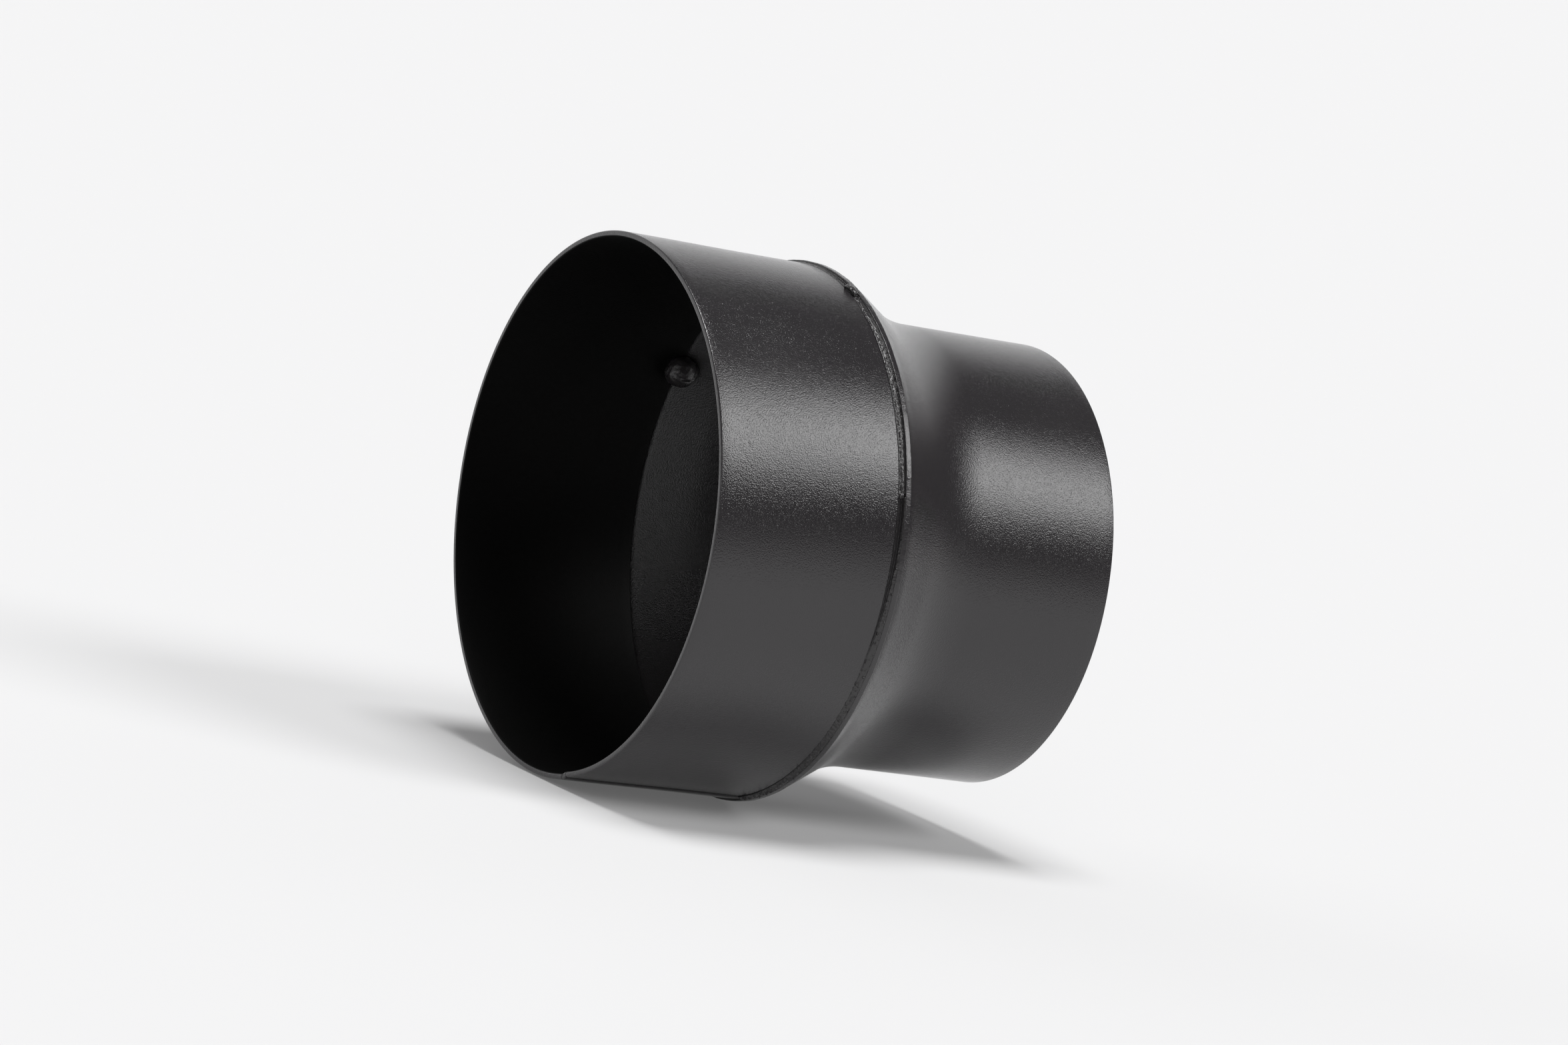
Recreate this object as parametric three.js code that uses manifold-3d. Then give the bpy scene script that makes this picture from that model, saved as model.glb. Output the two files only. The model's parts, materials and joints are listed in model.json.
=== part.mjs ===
// Concentric reducer for a stove's flue pipe, welded up from 2 mm steel sheet and painted black.
// Millimetres, +Z up. The pipe's axis is the X axis: the large mouth is at -X, the small end at +X,
// and the origin is on the axis, halfway along the length.
//
// A ring-shaped piece is drawn as an outline of (radius, station) points, where a station is the
// distance along the axis from the large mouth. A clock angle is measured round the axis from +Z
// towards -Y, so 0 is the top, 90 the near side and 180 the bottom.

import * as THREE from "three";
import { mergeVertices } from "three/addons/utils/BufferGeometryUtils.js";
import Module from "manifold-3d";

const wasm = await Module();
wasm.setup();

// Driving dimensions of the two sheet metal parts
const LARGE_BORE = 180;
const SMALL_BORE = 150;
const WALL = 2;
const LENGTH = 163;
const SHELL_LENGTH = 70.5;
const BEVEL_LENGTH = 2.9;
const ROOT_FACE = 0.8;
const LAP = 0.75;
const LIP_RISE = 1.1;
const LIP_WIDTH = 2.3;
const LIP_ROUND = 0.5;
const FLARE_ANGLE = THREE.MathUtils.degToRad(31.6);
const BLEND_RADIUS = 51;
const EDGE_RADIUS = 0.4;

// Driving dimensions of the weld metal
const FIT_GAP = 0.3;
const RING_WELD_WIDTH = 1.05;
const RING_WELD_RISE = 0.6;
const SEAM_WIDTH = 2.4;
const SEAM_RISE = 0.35;
const LUMP_WIDTH = 5.5;
const LUMP_LENGTH = 4.6;
const NEAR_TOP_LUMP_RISE = 2.6;
const NEAR_SIDE_LUMP_RISE = 1.4;
const DRIP_WIDTH = 11;
const DRIP_LENGTH = 10;
const DRIP_DEPTH = 5.5;

// Clock angles, in degrees, of the places where the welder stopped, and of the two sheets' own seams
const NEAR_TOP_STOP = 17.8;
const NEAR_SIDE_STOP = 72;
const SHELL_SEAM = 164.5;
const BURN_THROUGH = 298.2;
const TUBE_SEAM = 205;

// Roundness
const RING_SEGMENTS = 96;
const BEND_STEPS = 8;
const EDGE_STEPS = 3;
const LUMP_SEGMENTS = 20;
const SAME_POINT = 1e-4;

// Sizes that follow from the driving dimensions
const QUARTER = Math.PI / 2;
const LARGE_RADIUS = LARGE_BORE / 2 + WALL;
const SMALL_RADIUS = SMALL_BORE / 2 + WALL;
const LIP_START = SHELL_LENGTH - LAP;
const LIP_END = LIP_START + LIP_WIDTH;
const LIP_RADIUS = LARGE_RADIUS + LIP_RISE;
const CONE_RADIUS = LIP_RADIUS - LIP_ROUND / 2;
const INNER_CONE_RADIUS = CONE_RADIUS - WALL / Math.cos(FLARE_ANGLE);
const BLEND_DROP = BLEND_RADIUS * (1 - Math.cos(FLARE_ANGLE));
const CONE_LENGTH = (CONE_RADIUS - SMALL_RADIUS - BLEND_DROP) / Math.tan(FLARE_ANGLE);
const BLEND_END = LIP_END + CONE_LENGTH + BLEND_RADIUS * Math.sin(FLARE_ANGLE);
const BEVEL_START = SHELL_LENGTH - BEVEL_LENGTH;
const BEVEL_SLOPE = (WALL - ROOT_FACE) / BEVEL_LENGTH;
const RING_WELD_END = LIP_START - FIT_GAP;
const LUMP_CLOCK_WIDTH = clockWidth(LUMP_WIDTH);

// The angle that a length along the joint takes up, in degrees.
function clockWidth(length) {
  return THREE.MathUtils.radToDeg(length / LARGE_RADIUS);
}

const sheetPaint = new THREE.MeshStandardMaterial({
  name: "painted_sheet",
  color: 0x2b292b,
  roughness: 0.55,
  metalness: 0.1,
});
const weldPaint = new THREE.MeshStandardMaterial({
  name: "painted_weld",
  color: 0x2e2c2d,
  roughness: 0.45,
  metalness: 0.1,
});

const reducer = new THREE.Group();
reducer.name = "concentric_reducer";

function addPiece(name, solid, material) {
  const mesh = new THREE.Mesh(toGeometry(solid), material);
  mesh.name = name;
  reducer.add(mesh);
}

// A geometry's closed surface as a solid that can be joined and cut.
function toSolid(geometry) {
  const bare = geometry.index ? geometry.toNonIndexed() : geometry.clone();
  bare.deleteAttribute("normal");
  bare.deleteAttribute("uv");
  const merged = mergeVertices(bare, SAME_POINT);
  const vertProperties = Float32Array.from(merged.attributes.position.array);
  const triVerts = Uint32Array.from(merged.index.array);
  return new wasm.Manifold(new wasm.Mesh({ numProp: 3, vertProperties, triVerts }));
}

function toGeometry(solid) {
  const mesh = solid.getMesh();
  const geometry = new THREE.BufferGeometry();
  geometry.setAttribute("position", new THREE.BufferAttribute(mesh.vertProperties, mesh.numProp));
  geometry.setIndex(new THREE.BufferAttribute(mesh.triVerts, 1));
  geometry.computeVertexNormals();
  return geometry;
}

function point(radius, station) {
  return new THREE.Vector2(radius, station);
}

// Points on a round stretch of an outline, at angles from straight outward towards the small end. It
// is elliptical where its size along the axis is given too.
function arc(centre, radius, fromAngle, toAngle, steps, along = radius) {
  const points = [];
  for (let step = 0; step <= steps; step += 1) {
    const angle = fromAngle + ((toAngle - fromAngle) * step) / steps;
    points.push(point(centre.x + radius * Math.cos(angle), centre.y + along * Math.sin(angle)));
  }
  return points;
}

function rectangle(innerRadius, outerRadius, fromStation, toStation) {
  return [
    point(innerRadius, fromStation),
    point(outerRadius, fromStation),
    point(outerRadius, toStation),
    point(innerRadius, toStation),
  ];
}

// Lathes and outlines have their axis along Y, with clock angle 0 at +Z. This lays the axis along X.
function layDown(geometry) {
  const toPipe = new THREE.Matrix4().set(0, 1, 0, -LENGTH / 2, -1, 0, 0, 0, 0, 0, 1, 0, 0, 0, 0, 1);
  return toSolid(geometry.applyMatrix4(toPipe));
}

// An outline, anticlockwise with the radius to the right, turned once round the pipe's axis.
function turned(outline) {
  return layDown(new THREE.LatheGeometry([...outline, outline[0].clone()], RING_SEGMENTS));
}

// A flat slab of an outline's shape that stands out from the axis at a clock angle.
function slab(outline, thickness, clockAngle) {
  const shape = new THREE.Shape(outline);
  const geometry = new THREE.ExtrudeGeometry(shape, { depth: thickness, bevelEnabled: false });
  geometry.translate(0, 0, -thickness / 2);
  geometry.rotateY(THREE.MathUtils.degToRad(clockAngle) - QUARTER);
  return layDown(geometry);
}

// A wedge of the whole pipe between two clock angles.
function wedge(fromClock, toClock) {
  const reach = 2 * LARGE_RADIUS;
  const turn = THREE.MathUtils.degToRad(toClock - fromClock);
  const steps = Math.ceil(turn / (QUARTER / BEND_STEPS));
  const shape = new THREE.Shape([point(0, 0), ...arc(point(0, 0), reach, 0, turn, steps)]);
  const geometry = new THREE.ExtrudeGeometry(shape, { depth: LENGTH, bevelEnabled: false });
  geometry.rotateX(-QUARTER);
  geometry.rotateY(THREE.MathUtils.degToRad(fromClock) - QUARTER);
  return layDown(geometry);
}

// A ball squashed to its size across, along and out from the pipe, at a clock angle.
function blob(radius, station, clockAngle, across, along, out) {
  const geometry = new THREE.SphereGeometry(1, LUMP_SEGMENTS, LUMP_SEGMENTS / 2);
  geometry.scale(out / 2, along / 2, across / 2);
  geometry.translate(radius, station, 0);
  geometry.rotateY(THREE.MathUtils.degToRad(clockAngle) - QUARTER);
  return layDown(geometry);
}

// The open slot between a rolled sheet's two edges, as wide as its seam weld with room each side.
function seamSlot(clockAngle) {
  const outline = rectangle(SMALL_RADIUS / 2, 2 * LARGE_RADIUS, -WALL, LENGTH + WALL);
  return slab(outline, SEAM_WIDTH + 2 * FIT_GAP, clockAngle);
}

// The large cylinder's section. Its end is bevelled to a root face, to take the ring weld.
function shellOutline() {
  const inner = LARGE_BORE / 2;
  const innerEdge = point(inner + EDGE_RADIUS, EDGE_RADIUS);
  const outerEdge = point(LARGE_RADIUS - EDGE_RADIUS, EDGE_RADIUS);
  return [
    ...arc(innerEdge, EDGE_RADIUS, -2 * QUARTER, -QUARTER, EDGE_STEPS),
    ...arc(outerEdge, EDGE_RADIUS, -QUARTER, 0, EDGE_STEPS),
    point(LARGE_RADIUS, BEVEL_START),
    point(inner + ROOT_FACE, SHELL_LENGTH),
    point(inner, SHELL_LENGTH),
  ];
}

// The flared tube's section: a flat lip whose edge reaches over the shell's root face, a short cone,
// and a bend that runs into the small cylinder.
// With a rise, its outside stands proud by that much.
function tubeOutline(rise = 0) {
  const bendCentre = point(SMALL_RADIUS + BLEND_RADIUS, BLEND_END);
  const inward = 2 * QUARTER;
  const flared = inward + FLARE_ANGLE;
  const innerEdge = INNER_CONE_RADIUS + LIP_WIDTH * Math.tan(FLARE_ANGLE);
  const roundRadius = LIP_RADIUS - LIP_ROUND + rise;
  return [
    point(SMALL_RADIUS - WALL, LENGTH),
    ...arc(bendCentre, BLEND_RADIUS + WALL, inward, flared, BEND_STEPS),
    point(innerEdge, LIP_START),
    ...arc(point(roundRadius, LIP_START + LIP_ROUND), LIP_ROUND, -QUARTER, 0, EDGE_STEPS),
    ...arc(point(roundRadius, LIP_END - LIP_ROUND), LIP_ROUND, 0, QUARTER - FLARE_ANGLE, EDGE_STEPS),
    ...arc(bendCentre, BLEND_RADIUS - rise, flared, inward, BEND_STEPS),
    point(SMALL_RADIUS + rise, LENGTH),
  ];
}

// The ring weld fills the shell's bevel up to the lip's edge, with a low crown.
function ringWeldOutline() {
  const crownCentre = point(LARGE_RADIUS, RING_WELD_END);
  const root = LARGE_RADIUS - RING_WELD_WIDTH * BEVEL_SLOPE;
  return [
    point(root, RING_WELD_END),
    ...arc(crownCentre, RING_WELD_RISE, -QUARTER, 0, 2 * EDGE_STEPS, RING_WELD_WIDTH),
  ];
}

function addShell() {
  addPiece("large_end_shell", turned(shellOutline()).subtract(seamSlot(SHELL_SEAM)), sheetPaint);
  const inner = LARGE_RADIUS - SEAM_RISE;
  const crown = rectangle(inner, LARGE_RADIUS + SEAM_RISE, EDGE_RADIUS, BEVEL_START);
  const seam = slab(shellOutline(), SEAM_WIDTH, SHELL_SEAM).add(slab(crown, SEAM_WIDTH, SHELL_SEAM));
  addPiece("shell_seam_weld", seam, weldPaint);
}

function addTube() {
  addPiece("flared_small_tube", turned(tubeOutline()).subtract(seamSlot(TUBE_SEAM)), sheetPaint);
  addPiece("tube_seam_weld", slab(tubeOutline(SEAM_RISE), SEAM_WIDTH, TUBE_SEAM), weldPaint);
}

// The ring weld is laid in four runs. Each starts and ends where the welder stopped, and leaves room
// there for a lump or a burnt hole. At the shell's own seam two runs meet end to end.
function addRingWeld() {
  const ring = turned(ringWeldOutline());
  const lumpRoom = LUMP_CLOCK_WIDTH / 2;
  const stops = [
    { name: "near_top", clock: NEAR_TOP_STOP, room: lumpRoom },
    { name: "near_side", clock: NEAR_SIDE_STOP, room: lumpRoom },
    { name: "under", clock: SHELL_SEAM, room: clockWidth(FIT_GAP) / 2 },
    { name: "far_side", clock: BURN_THROUGH, room: lumpRoom },
    { name: "near_top", clock: NEAR_TOP_STOP + 360, room: lumpRoom },
  ];
  for (let index = 0; index < stops.length - 1; index += 1) {
    const from = stops[index];
    const to = stops[index + 1];
    const run = ring.intersect(wedge(from.clock + from.room, to.clock - to.room));
    addPiece(`ring_weld_${from.name}_run`, run, weldPaint);
  }
}

// The wedge between the ends of two runs that stop at a clock angle, less a gap on each side.
function stopWedge(clockAngle) {
  const half = LUMP_CLOCK_WIDTH / 2 - clockWidth(FIT_GAP);
  return wedge(clockAngle - half, clockAngle + half);
}

// The space of both sheets and the usual gap round them.
function sheetSpace() {
  const shell = rectangle(SMALL_RADIUS, LARGE_RADIUS + FIT_GAP, 0, SHELL_LENGTH);
  const lip = rectangle(SMALL_RADIUS, LIP_RADIUS + FIT_GAP, LIP_START - FIT_GAP, LENGTH);
  return turned(shell).add(turned(lip));
}

// A lump on the outside where a run stops, as high above the shell as its rise, on a stretch of bead.
function addStopLump(name, clockAngle, rise) {
  const radius = LARGE_RADIUS + rise / 2;
  const ball = blob(radius, LIP_START, clockAngle, LUMP_WIDTH, LUMP_LENGTH, rise);
  const bead = turned(ringWeldOutline());
  const lump = ball.subtract(sheetSpace()).add(bead).intersect(stopWedge(clockAngle));
  addPiece(name, lump, weldPaint);
}

// The room inside the shell and the flare, less the usual gap.
function flareRoom() {
  const shellRoom = LARGE_BORE / 2 - FIT_GAP;
  const coneRoom = INNER_CONE_RADIUS - FIT_GAP / Math.cos(FLARE_ANGLE);
  const coneStart = LIP_END + (coneRoom - shellRoom) / Math.tan(FLARE_ANGLE);
  const coneEnd = LIP_END + (coneRoom - SMALL_RADIUS) / Math.tan(FLARE_ANGLE);
  return turned([
    point(SMALL_RADIUS / 2, 0),
    point(shellRoom, 0),
    point(shellRoom, coneStart),
    point(SMALL_RADIUS, coneEnd),
    point(SMALL_RADIUS / 2, coneEnd),
  ]);
}

// A drip on the inside, at the shell's end, where the arc burnt through.
function addDrip() {
  const ball = blob(LARGE_BORE / 2, LIP_START, BURN_THROUGH, DRIP_WIDTH, DRIP_LENGTH, 2 * DRIP_DEPTH);
  addPiece("inner_weld_drip", ball.intersect(flareRoom()), weldPaint);
}

addShell();
addTube();
addRingWeld();
addStopLump("weld_lump_near_top", NEAR_TOP_STOP, NEAR_TOP_LUMP_RISE);
addStopLump("weld_lump_near_side", NEAR_SIDE_STOP, NEAR_SIDE_LUMP_RISE);
addDrip();

export default reducer;
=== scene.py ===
"""A welded flue pipe reducer: its detailed visual model, materials, light and camera.

Everything is in metres in the CAD frame: the pipe's axis is X and the large mouth is at -X. A station
is a place along X. A clock angle is measured round the axis from +Z towards -Y, so 0 is the top, a
quarter turn is the near side and half a turn the bottom.
"""
import json
import math

import bmesh
import bpy
import numpy as np
from mathutils import Euler, Matrix, Vector, noise


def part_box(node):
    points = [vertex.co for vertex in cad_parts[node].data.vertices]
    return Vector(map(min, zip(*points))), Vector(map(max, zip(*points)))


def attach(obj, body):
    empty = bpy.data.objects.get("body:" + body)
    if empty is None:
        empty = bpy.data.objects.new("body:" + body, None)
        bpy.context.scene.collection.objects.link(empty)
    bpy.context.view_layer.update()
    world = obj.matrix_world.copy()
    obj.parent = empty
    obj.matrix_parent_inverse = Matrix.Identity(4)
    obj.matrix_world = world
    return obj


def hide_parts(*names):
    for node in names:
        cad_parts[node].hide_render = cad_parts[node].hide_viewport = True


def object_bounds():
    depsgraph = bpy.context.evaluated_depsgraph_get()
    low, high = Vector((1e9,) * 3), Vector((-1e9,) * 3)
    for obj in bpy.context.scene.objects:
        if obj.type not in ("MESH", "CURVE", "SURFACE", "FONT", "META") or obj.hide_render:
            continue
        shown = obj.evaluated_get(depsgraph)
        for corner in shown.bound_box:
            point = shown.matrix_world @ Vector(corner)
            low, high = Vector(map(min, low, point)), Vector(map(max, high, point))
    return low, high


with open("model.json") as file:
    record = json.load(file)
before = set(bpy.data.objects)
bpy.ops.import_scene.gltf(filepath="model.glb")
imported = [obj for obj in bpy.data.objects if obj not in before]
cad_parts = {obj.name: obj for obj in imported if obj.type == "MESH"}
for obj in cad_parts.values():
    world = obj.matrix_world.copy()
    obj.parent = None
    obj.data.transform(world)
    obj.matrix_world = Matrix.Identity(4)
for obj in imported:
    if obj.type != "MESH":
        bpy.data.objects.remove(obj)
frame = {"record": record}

MM = 0.001
QUARTER = math.pi / 2
TURN = 2 * math.pi

# Sizes and places that the frame gives
cad_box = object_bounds()
shell_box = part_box("large_end_shell")
tube_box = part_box("flared_small_tube")
mounts = {mount["name"]: mount for mount in frame["record"]["mounts"]}
MOUTH = shell_box[0].x
SHELL_END = shell_box[1].x
LIP_START = tube_box[0].x
TUBE_END = tube_box[1].x
LARGE_RADIUS = shell_box[1].z
LIP_RADIUS = tube_box[1].z
WALL = 2 * (LARGE_RADIUS - mounts["large_end_face"]["pos_m"][2])
SMALL_RADIUS = mounts["small_end_face"]["pos_m"][2] + WALL / 2
BORE_RADIUS = LARGE_RADIUS - WALL


def clock_of(node):
    """The clock angle of the middle of a CAD node."""
    low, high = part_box(node)
    middle = (low + high) / 2
    return math.atan2(-middle.y, middle.z) % TURN


NEAR_TOP_STOP = clock_of("weld_lump_near_top")
NEAR_SIDE_STOP = clock_of("weld_lump_near_side")
SHELL_SEAM = clock_of("shell_seam_weld")
TUBE_SEAM = clock_of("tube_seam_weld")
BURN_THROUGH = clock_of("inner_weld_drip")

# Shape of the sheet metal parts
FLARE_ANGLE = math.radians(31.6)
BLEND_RADIUS = 51 * MM
EDGE_RADIUS = 0.5 * MM
MELTED_RADIUS = 0.25 * MM
ROOT_FACE = 0.8 * MM
BEVEL_LENGTH = 2.9 * MM
LIP_WIDTH = 2.3 * MM
SEAM_WIDTH = 2.4 * MM
SEAM_STEP = 0.3 * MM
ALONG_CELL = 4 * MM
ROUND_CELL = 0.8 * MM

# Shape of the weld metal
BEAD_TOE = SHELL_END - BEVEL_LENGTH - 0.2 * MM
BEAD_END = LIP_START - 0.02 * MM
BEAD_DEPTH = 1.1 * MM
BEVEL_FLOOR_MM = (0.1, -0.9)
BEAD_COLUMNS = 28
BEAD_CELL = 0.25 * MM
STOP_GAP = 0.6 * MM / LARGE_RADIUS


# Meshes -----------------------------------------------------------------------------------------

def arc(centre, radius, start, end, steps):
    """Points on a round stretch of an outline, at angles from straight outward towards +X."""
    angles = np.linspace(start, end, steps + 1)
    return [(centre[0] + radius * math.cos(a), centre[1] + radius * math.sin(a)) for a in angles]


def subdivided(outline, longest):
    """The outline with points added so that no stretch is longer than that."""
    points = []
    for here, following in zip(outline, outline[1:] + outline[:1]):
        here, following = np.array(here), np.array(following)
        parts = max(1, math.ceil(np.linalg.norm(following - here) / longest))
        points += [tuple(here + (following - here) * k / parts) for k in range(parts)]
    return points


def place(radius, station, clock):
    """Points in the row frame from radii, stations and clock angles."""
    return np.stack([station, -radius * np.sin(clock), radius * np.cos(clock)], axis=-1)


def mesh_object(name, points, faces):
    """A smooth-shaded mesh that rides on the reducer's one body."""
    mesh = bpy.data.meshes.new(name)
    mesh.from_pydata(points.reshape(-1, 3).tolist(), [], faces)
    mesh.validate()
    mesh.shade_smooth()
    piece = bpy.data.objects.new(name, mesh)
    bpy.context.scene.collection.objects.link(piece)
    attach(piece, "root")
    return piece


def swept(name, outline, clocks, shape):
    """An outline of (radius, station) points swept round the pipe's axis and capped at both ends.

    The outline runs anticlockwise with the radius to the right. shape changes the arrays of radii and
    stations, one row per clock angle.
    """
    rows, columns = len(clocks), len(outline)
    radius = np.tile([p[0] for p in outline], (rows, 1))
    station = np.tile([p[1] for p in outline], (rows, 1))
    clock = np.tile(np.array(clocks)[:, None], (1, columns))
    radius, station = shape(radius, station, clock)
    faces = []
    for row in range(rows - 1):
        here, following = row * columns, (row + 1) * columns
        for column in range(columns):
            beside = (column + 1) % columns
            faces.append((here + column, following + column, following + beside, here + beside))
    last = (rows - 1) * columns
    faces.append(tuple(range(columns)))
    faces.append(tuple(reversed(range(last, last + columns))))
    return mesh_object(name, place(radius, station, clock), faces)


def rough(points, wavelength, seed):
    """Smooth noise from -1 to 1 at each of an array of points."""
    shifted = points.reshape(-1, 3) / wavelength + seed * 17.3
    values = [noise.noise(Vector(p)) for p in shifted]
    return np.array(values).reshape(points.shape[:-1])


def clock_steps(start, end, radius, cell):
    """Clock angles from start to end, about a cell apart at a radius."""
    return np.linspace(start, end, max(2, round((end - start) * radius / cell)) + 1)


def turn_from(clock, seam):
    """How far a clock angle is past a seam, from minus half a turn to half a turn."""
    return (clock - seam + math.pi) % TURN - math.pi


# The sheet metal parts and their seams ----------------------------------------------------------

def shell_outline():
    """The large cylinder's section, with rounded edges at the mouth and a bevel for the ring weld."""
    inner_edge = (BORE_RADIUS + EDGE_RADIUS, MOUTH + EDGE_RADIUS)
    outer_edge = (LARGE_RADIUS - EDGE_RADIUS, MOUTH + EDGE_RADIUS)
    inner_end = (BORE_RADIUS + MELTED_RADIUS, SHELL_END - MELTED_RADIUS)
    return [
        *arc(inner_edge, EDGE_RADIUS, -2 * QUARTER, -QUARTER, 5),
        *arc(outer_edge, EDGE_RADIUS, -QUARTER, 0, 5),
        (LARGE_RADIUS, SHELL_END - BEVEL_LENGTH - MELTED_RADIUS),
        (LARGE_RADIUS, SHELL_END - BEVEL_LENGTH),
        (BORE_RADIUS + ROOT_FACE, SHELL_END),
        *arc(inner_end, MELTED_RADIUS, QUARTER, 2 * QUARTER, 4),
    ]


def tube_outline():
    """The flared tube's section: rounded end, bore, the inside of the flare, its lip and its outside."""
    inner_end = (SMALL_RADIUS - WALL + EDGE_RADIUS, TUBE_END - EDGE_RADIUS)
    outer_end = (SMALL_RADIUS - EDGE_RADIUS, TUBE_END - EDGE_RADIUS)
    lip_end = LIP_START + LIP_WIDTH
    lip_edge = (LIP_RADIUS - MELTED_RADIUS, LIP_START + MELTED_RADIUS)
    lip_back = (LIP_RADIUS - EDGE_RADIUS, lip_end - EDGE_RADIUS)
    cone_radius = LIP_RADIUS - EDGE_RADIUS / 2
    inner_cone_radius = cone_radius - WALL / math.cos(FLARE_ANGLE)
    inner_edge = inner_cone_radius + LIP_WIDTH * math.tan(FLARE_ANGLE)
    drop = BLEND_RADIUS * (1 - math.cos(FLARE_ANGLE))
    cone_length = (cone_radius - SMALL_RADIUS - drop) / math.tan(FLARE_ANGLE)
    bend = (SMALL_RADIUS + BLEND_RADIUS, lip_end + cone_length + BLEND_RADIUS * math.sin(FLARE_ANGLE))
    inward, flared = math.pi, math.pi + FLARE_ANGLE
    return [
        *arc(outer_end, EDGE_RADIUS, 0, QUARTER, 5),
        *arc(inner_end, EDGE_RADIUS, QUARTER, 2 * QUARTER, 5),
        *arc(bend, BLEND_RADIUS + WALL, inward, flared, 24),
        (inner_edge, LIP_START),
        *arc(lip_edge, MELTED_RADIUS, -QUARTER, 0, 5),
        *arc(lip_back, EDGE_RADIUS, 0, QUARTER - FLARE_ANGLE, 4),
        *arc(bend, BLEND_RADIUS, flared, inward, 24),
    ]


def out_of_step(clock, seam, half, step):
    """How far a rolled sheet's two edges stand out of round, most at its seam."""
    past = turn_from(clock, seam)
    beyond = np.maximum(np.abs(past) - half, 0)
    return step * np.clip(past / half, -1, 1) * np.exp(-beyond * LARGE_RADIUS / (22 * MM))


def shell_shape(radius, station, clock):
    """The large cylinder as it is: out of round at its mouth and out of step at its seam."""
    step = out_of_step(clock, SHELL_SEAM, SEAM_WIDTH / 2 / LARGE_RADIUS, SEAM_STEP)
    oval = 0.3 * np.cos(2 * clock) - 1.5 * np.sin(2 * clock) - 0.25 * np.sin(3 * clock)
    near_mouth = np.exp(-((station - MOUTH) / (40 * MM)) ** 2)
    wave = 0.05 * np.sin(3 * clock + 0.7) + 0.04 * np.sin(7 * clock + station / (30 * MM))
    return radius + step + (oval * near_mouth + wave) * MM, station


def tube_shape(radius, station, clock):
    """The flared tube as it is: a little oval at its end, with a lip that wavers."""
    near_end = np.exp(-((TUBE_END - station) / (50 * MM)) ** 2)
    wave = 0.03 * np.sin(9 * clock + station / (24 * MM))
    oval = -0.4 * np.cos(2 * clock) - 0.45 * np.sin(2 * clock)
    on_lip = (station < LIP_START + LIP_WIDTH) & (radius > LIP_RADIUS - 2 * EDGE_RADIUS)
    waver = 0.05 * np.sin(47 * clock) * np.sin(13 * clock + 2) + 0.02 * np.sin(181 * clock) - 0.1
    return radius + (oval * near_end + wave + on_lip * waver) * MM, station


def make_rolled_sheet(name, node, outline, seam, shape):
    """A sheet rolled round until its two edges stand a seam's width apart."""
    half = SEAM_WIDTH / 2 / LARGE_RADIUS
    clocks = clock_steps(seam + half, seam + TURN - half, LARGE_RADIUS, ROUND_CELL)
    sheet = swept(name, subdivided(outline, ALONG_CELL), clocks, shape)
    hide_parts(node)
    return sheet


def make_seam_weld(name, node, outline, seam, shape):
    """The ground-down weld along a rolled sheet's seam, with a low crown outside."""
    half = SEAM_WIDTH / 2 / LARGE_RADIUS
    middle_wall = sum(p[0] for p in outline) / len(outline)

    def crowned(radius, station, clock):
        across = 1 - (turn_from(clock, seam) / half) ** 2
        points = place(radius, station, clock)
        ripple = 0.25 + 0.06 * rough(points, 3 * MM, 5)
        outside = radius > middle_wall
        radius, station = shape(radius, station, clock)
        return radius + np.where(outside, 1, -0.4) * across * ripple * MM, station

    clocks = np.linspace(seam - half, seam + half, 9)
    weld = swept(name, subdivided(outline, MM), clocks, crowned)
    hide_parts(node)
    return weld


# The ring weld ----------------------------------------------------------------------------------

def smooth_step(value, low, high):
    """0 below low, 1 above high, and smooth between."""
    part = np.clip((value - low) / (high - low), 0, 1)
    return part * part * (3 - 2 * part)


def notch(value, middle, width):
    """A smooth hump from 0 to 1, so wide, round a middle value."""
    return np.exp(-((value - middle) / width) ** 2)


def full_bead(across, clock):
    """A sound bead's height above the shell, in mm, from its toe (across 0) to the lip (across 1)."""
    dashes = smooth_step(np.sin(160 * clock) + np.sin(97 * clock + 1) + np.sin(413 * clock), -0.4, 1)
    crease = 0.35 * dashes * notch(across, 0.32, 0.05)
    crest = -0.04 + 0.12 * smooth_step(across, 0, 0.15) + 0.1 * smooth_step(across, 0.2, 0.6)
    crest += 0.3 * smooth_step(across, 0.93, 1)
    return crest - crease - 0.15 * notch(across, 0.88, 0.03)


def hollow_bead(across, clock):
    """The height of the bead that starts as a hollow at the near side's stop and fills up below it."""
    past = smooth_step(clock, NEAR_SIDE_STOP, NEAR_SIDE_STOP + math.radians(45))
    edge = 0.75 - 0.75 * past
    return -0.8 + 0.9 * smooth_step(across, edge, edge + 0.2) + 0.8 * smooth_step(across, edge, 1.05)


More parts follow.
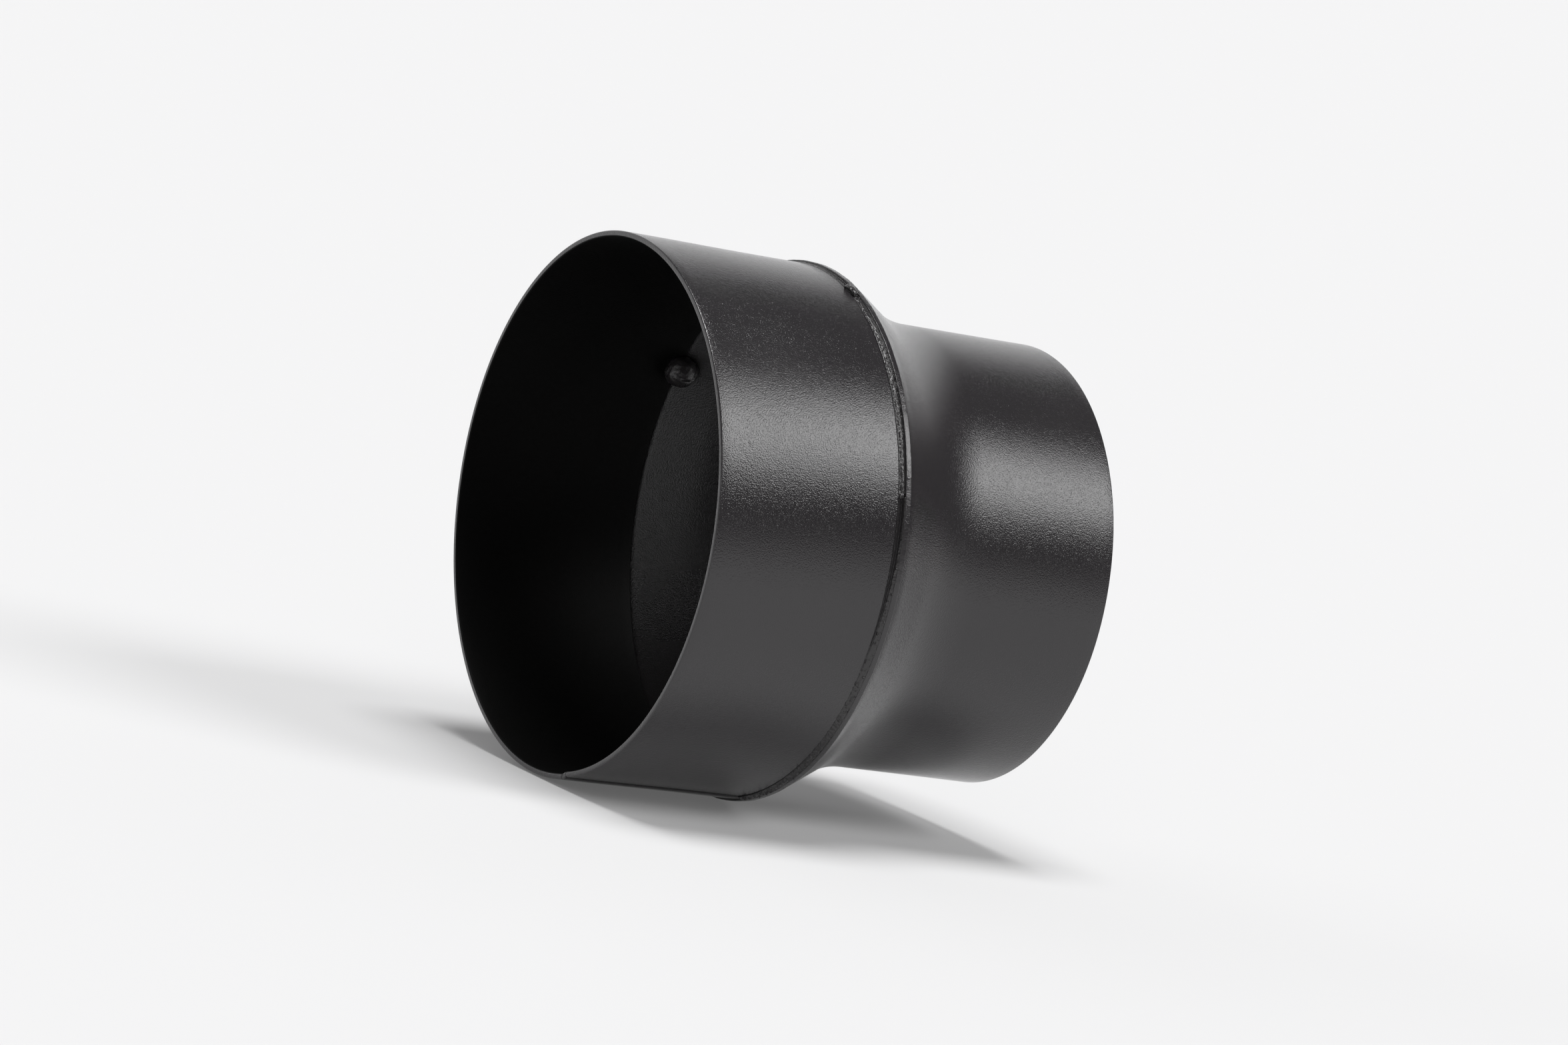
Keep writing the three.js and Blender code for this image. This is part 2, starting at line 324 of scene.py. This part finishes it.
def make_weld_run(name, node, start, end, height, roughness, specks):
    """One run of the ring weld, in the shell's bevel up to the lip, with its ripples and specks."""
    stations = np.linspace(BEAD_TOE, BEAD_END, BEAD_COLUMNS)
    root = (LARGE_RADIUS - BEAD_DEPTH, BEAD_END)
    outline = [root, *((LARGE_RADIUS, s) for s in stations)]

    def shape(radius, station, clock):
        points = place(radius, station, clock)
        across = (station - BEAD_TOE) / (BEAD_END - BEAD_TOE)
        ripple = roughness * (rough(points, 1.8 * MM, 1) + rough(points, 0.7 * MM, 2))
        speck = specks * np.clip(rough(points, 0.8 * MM, 4) - 0.25, 0, 1)
        outside = radius > LARGE_RADIUS - BEAD_DEPTH / 2
        bevel_floor = np.interp(across, (0, 1), BEVEL_FLOOR_MM)
        top = np.maximum(height(across, clock) + ripple + speck, bevel_floor) * MM
        sway = 0.10 * MM * rough(points, 2.5 * MM, 3)
        return radius + outside * top, station + outside * sway * (1 - across)

    run = swept(name, outline, clock_steps(start, end, LARGE_RADIUS, BEAD_CELL), shape)
    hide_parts(node)
    return run


def make_ring_weld():
    """The four runs of the ring weld, from stop to stop. The near side's is hollow and the roughest."""
    return [
        make_weld_run("ring_bead_near_top", "ring_weld_near_top_run", NEAR_TOP_STOP,
                      NEAR_SIDE_STOP - STOP_GAP, full_bead, 0.11, 0.25),
        make_weld_run("ring_bead_near_side", "ring_weld_near_side_run", NEAR_SIDE_STOP + STOP_GAP,
                      SHELL_SEAM, hollow_bead, 0.14, 1.3),
        make_weld_run("ring_bead_under", "ring_weld_under_run", SHELL_SEAM, BURN_THROUGH,
                      full_bead, 0.12, 0.2),
        make_weld_run("ring_bead_far_side", "ring_weld_far_side_run", BURN_THROUGH,
                      NEAR_TOP_STOP + TURN, full_bead, 0.12, 0.2),
    ]


def blob(name, node, clock, radius, station, size, dent):
    """A lump of weld metal of a size (across, along, out). dent moves its points, given on a unit ball."""
    ball = bmesh.new()
    bmesh.ops.create_icosphere(ball, subdivisions=5, radius=1)
    points = np.array([v.co for v in ball.verts])
    faces = [tuple(v.index for v in face.verts) for face in ball.faces]
    ball.free()
    points = points * (1 + dent(points))[:, None] * np.array(size) / 2
    across, along, out = points.T
    lump = mesh_object(name, place(radius + out, station + along, clock + across / radius), faces)
    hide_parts(node)
    return lump


def make_lumps():
    """The lumps at the two outside stops, and the drip inside where the arc burnt through."""

    def pitted(points):
        flat = -0.35 * np.clip(points[:, 2] - 0.45, 0, 1)
        return flat + 0.3 * rough(points, 0.8, 7) - 0.5 * np.clip(rough(points, 0.35, 8) - 0.3, 0, 1)

    def cleft(points):
        fold = points[:, 0] + 0.05 - 0.35 * points[:, 1] ** 2
        slit = 0.3 * notch(fold, 0, 0.07) * notch(points[:, 1], 0.1, 0.5)
        return 0.09 * rough(points, 0.9, 9) + 0.05 * rough(points, 0.3, 11) - slit

    return [
        blob("stop_lump_near_top", "weld_lump_near_top", NEAR_TOP_STOP, LARGE_RADIUS + 0.5 * MM,
             LIP_START - 0.3 * MM, (8.5 * MM, 4 * MM, 3.4 * MM), pitted),
        blob("stop_lump_near_side", "weld_lump_near_side", NEAR_SIDE_STOP, LARGE_RADIUS - 0.1 * MM,
             LIP_START - 0.9 * MM, (2.4 * MM, 2.2 * MM, 1.2 * MM), pitted),
        blob("burn_through_drip", "inner_weld_drip", BURN_THROUGH, BORE_RADIUS - 2.4 * MM,
             LIP_START + 0.9 * MM, (11.5 * MM, 12 * MM, 10 * MM), cleft),
    ]


# Materials --------------------------------------------------------------------------------------

class Nodes:
    """A short way to add nodes to a material or world and to link them."""

    def __init__(self, tree):
        self.tree = tree
        self.link = tree.links.new
        tree.nodes.clear()

    def add(self, kind, settings=None, **inputs):
        """A node, with its settings, and its inputs by name. An input that is a socket is linked."""
        node = self.tree.nodes.new(kind)
        for key, value in (settings or {}).items():
            setattr(node, key, value)
        for key, value in inputs.items():
            socket = node.inputs[key.replace("_", " ")]
            if isinstance(value, bpy.types.NodeSocket):
                self.link(value, socket)
            else:
                socket.default_value = value
        return node


def new_material(name):
    material = bpy.data.materials.new(name)
    material.use_nodes = True
    return material, Nodes(material.node_tree)


def paint(name, dark, light, rough_from, rough_to, grain_depth, specular):
    """Satin black heat-resistant paint with a fine leathery grain and slow changes of tone and gloss."""
    material, nodes = new_material(name)
    where = nodes.add("ShaderNodeTexCoord").outputs["Object"]
    grain = nodes.add("ShaderNodeTexNoise", Vector=where, Scale=2300.0, Detail=1.5, Roughness=0.5)
    patches = nodes.add("ShaderNodeTexNoise", Vector=where, Scale=14.0, Detail=3.0)
    tone = nodes.add("ShaderNodeMix", {"data_type": "RGBA"})
    nodes.link(patches.outputs["Fac"], tone.inputs["Factor"])
    tone.inputs["A"].default_value = (*dark, 1)
    tone.inputs["B"].default_value = (*light, 1)
    gloss = nodes.add("ShaderNodeMapRange", Value=patches.outputs["Fac"], From_Min=0.35, From_Max=0.65,
                      To_Min=rough_from, To_Max=rough_to)
    bump = nodes.add("ShaderNodeBump", Strength=1.0, Distance=grain_depth, Height=grain.outputs["Fac"])
    shader = nodes.add("ShaderNodeBsdfPrincipled", Roughness=gloss.outputs["Result"],
                       Normal=bump.outputs["Normal"])
    shader.inputs["Specular IOR Level"].default_value = specular
    nodes.link(tone.outputs["Result"], shader.inputs["Base Color"])
    nodes.add("ShaderNodeOutputMaterial", Surface=shader.outputs["BSDF"])
    return material


FLOOR_COLOR = (0.635, 0.635, 0.639, 1)
FLOOR_GLOW = 0.1


def floor_material():
    """A plain pale matt floor with a faint glow of its own, like a light table, to lighten shadows."""
    material, nodes = new_material("pale_floor")
    shader = nodes.add("ShaderNodeBsdfDiffuse", Color=FLOOR_COLOR)
    glow = nodes.add("ShaderNodeEmission", Color=(1, 1, 1, 1), Strength=FLOOR_GLOW)
    both = nodes.add("ShaderNodeAddShader")
    nodes.link(shader.outputs["BSDF"], both.inputs[0])
    nodes.link(glow.outputs["Emission"], both.inputs[1])
    nodes.add("ShaderNodeOutputMaterial", Surface=both.outputs["Shader"])
    return material


def give(piece, outside, inside):
    """Paints a piece, with a second paint on the faces that look towards the pipe's axis. For the sheets
    and their seams that second paint is a darker copy of the paint, painted shade for the dim inside of
    the pipe.
    """
    mesh = piece.data
    mesh.materials.append(outside)
    mesh.materials.append(inside)
    for face in mesh.polygons:
        outward = Vector((0, face.center.y, face.center.z)).normalized()
        face.material_index = int(face.normal.dot(outward) < -0.3)


# The stage --------------------------------------------------------------------------------------

CAMERA_AZIMUTH = math.radians(-30.516)
CAMERA_ELEVATION = math.radians(5.819)
CAMERA_ROLL = math.radians(11.69)
CAMERA_DISTANCE = 2.4827
CAMERA_AIM = Vector((-2.29 * MM, 1.74 * MM, 3.33 * MM))
CAMERA_LENS = 166.8
ROOM_LIGHT = 0.08
FLOOR_HALF_SIZE = 60


def make_camera():
    """The photograph's viewpoint, rolled because the part lies level here and lay tilted there."""
    data = bpy.data.cameras.new("camera")
    data.lens = CAMERA_LENS
    data.sensor_width = 36
    data.clip_start, data.clip_end = 0.05, 200
    camera = bpy.data.objects.new("camera", data)
    bpy.context.scene.collection.objects.link(camera)
    turn = Euler((QUARTER - CAMERA_ELEVATION, 0, CAMERA_AZIMUTH), "XYZ").to_matrix()
    turn = turn @ Matrix.Rotation(CAMERA_ROLL, 3, "Z")
    stand = CAMERA_AIM + turn @ Vector((0, 0, CAMERA_DISTANCE))
    camera.matrix_world = Matrix.Translation(stand) @ turn.to_4x4()
    bpy.context.scene.camera = camera


def make_floor():
    half = FLOOR_HALF_SIZE
    corners = [(-half, -half), (half, -half), (half, half), (-half, half)]
    mesh = bpy.data.meshes.new("floor")
    mesh.from_pydata([(x, y, cad_box[0].z) for x, y in corners], [], [(0, 1, 2, 3)])
    floor = bpy.data.objects.new("floor", mesh)
    bpy.context.scene.collection.objects.link(floor)
    mesh.materials.append(floor_material())


def make_softbox(name, towards, strength, spread):
    """A far softbox: an even disc of light as seen from the part, in a direction from it."""
    data = bpy.data.lights.new(name, "SUN")
    data.energy = strength
    data.angle = math.radians(spread)
    light = bpy.data.objects.new(name, data)
    light.rotation_mode = "QUATERNION"
    light.rotation_quaternion = Vector(towards).to_track_quat("Z", "Y")
    bpy.context.scene.collection.objects.link(light)


def make_world():
    """A pale backdrop behind the part and all along the horizon, in an otherwise dim room."""
    world = bpy.data.worlds.new("studio")
    bpy.context.scene.world = world
    world.use_nodes = True
    nodes = Nodes(world.node_tree)
    where = nodes.add("ShaderNodeTexCoord").outputs["Generated"]
    parts = nodes.add("ShaderNodeSeparateXYZ", Vector=where).outputs

    def fade(value, low, high, at_low, at_high):
        ramp = nodes.add("ShaderNodeMapRange", {"interpolation_type": "SMOOTHSTEP"}, Value=value)
        for key, number in zip(("From Min", "From Max", "To Min", "To Max"), (low, high, at_low, at_high)):
            ramp.inputs[key].default_value = number
        return ramp.outputs["Result"]

    def combine(operation, first, second):
        node = nodes.add("ShaderNodeMath", {"operation": operation})
        nodes.link(first, node.inputs[0])
        nodes.link(second, node.inputs[1])
        return node.outputs["Value"]

    horizon = fade(parts["Z"], 0.025, 0.07, 1, ROOM_LIGHT)
    behind = fade(parts["Y"], 0.25, 0.5, ROOM_LIGHT, 1)
    under_ceiling = fade(parts["Z"], 0.5, 0.7, 1, ROOM_LIGHT)
    light = combine("MAXIMUM", horizon, combine("MULTIPLY", under_ceiling, behind))
    tint = nodes.add("ShaderNodeMix", {"data_type": "RGBA"})
    nodes.link(behind, tint.inputs["Factor"])
    tint.inputs["A"].default_value = (0.93, 0.89, 0.88, 1)
    tint.inputs["B"].default_value = (0.91, 0.91, 0.915, 1)
    backdrop = nodes.add("ShaderNodeBackground", Color=tint.outputs["Result"], Strength=light)
    nodes.add("ShaderNodeOutputWorld", Surface=backdrop.outputs["Background"])


make_camera()
outer_paint = paint(
    "satin_black_paint", (0.021, 0.0195, 0.0215), (0.027, 0.025, 0.0265),
    rough_from=0.12, rough_to=0.17, grain_depth=0.00011, specular=0.60,
)
# Darker copy of the paint on the inside of the flare and the small tube: painted shade for the dim inside
# of the pipe.
flare_inner_painted_shade = paint(
    "painted_shade_in_flare", (0.008, 0.0075, 0.008), (0.014, 0.013, 0.014),
    rough_from=0.26, rough_to=0.36, grain_depth=0.00022, specular=0.62,
)
# Near-black copy of the paint on the inside of the shell: painted shade for the dark inside of the mouth.
shell_inner_painted_shade = paint(
    "painted_shade_in_shell", (0.0012, 0.0012, 0.0012), (0.0025, 0.0025, 0.0025),
    rough_from=0.5, rough_to=0.6, grain_depth=0.00010, specular=0.10,
)
weld_paint = paint(
    "paint_on_weld_metal", (0.016, 0.015, 0.016), (0.024, 0.022, 0.023),
    rough_from=0.20, rough_to=0.28, grain_depth=0.00016, specular=0.60,
)

shell = (shell_outline(), SHELL_SEAM, shell_shape)
tube = (tube_outline(), TUBE_SEAM, tube_shape)
# The inside faces of both sheets and their seams take these darker paints, which are painted shade.
for section, sheet_name, sheet_node, weld_name, weld_node, inner_painted_shade in (
    (shell, "painted_shell", "large_end_shell", "shell_seam", "shell_seam_weld", shell_inner_painted_shade),
    (tube, "painted_flared_tube", "flared_small_tube", "tube_seam", "tube_seam_weld", flare_inner_painted_shade),
):
    sheet = make_rolled_sheet(sheet_name, sheet_node, *section)
    give(sheet, outer_paint, inner_painted_shade)
    seam_weld = make_seam_weld(weld_name, weld_node, *section)
    give(seam_weld, outer_paint, inner_painted_shade)
for piece in make_ring_weld() + make_lumps():
    give(piece, weld_paint, weld_paint)

make_floor()
make_softbox("key_softbox", (0.516, -0.535, 0.669), 1.25, 30)
make_softbox("top_softbox", (0, 0, 1), 2.5, 28)
make_softbox("fill_softbox", (-0.455, -0.757, 0.469), 0.25, 25)
make_world()
bpy.context.scene.view_settings.view_transform = "Standard"
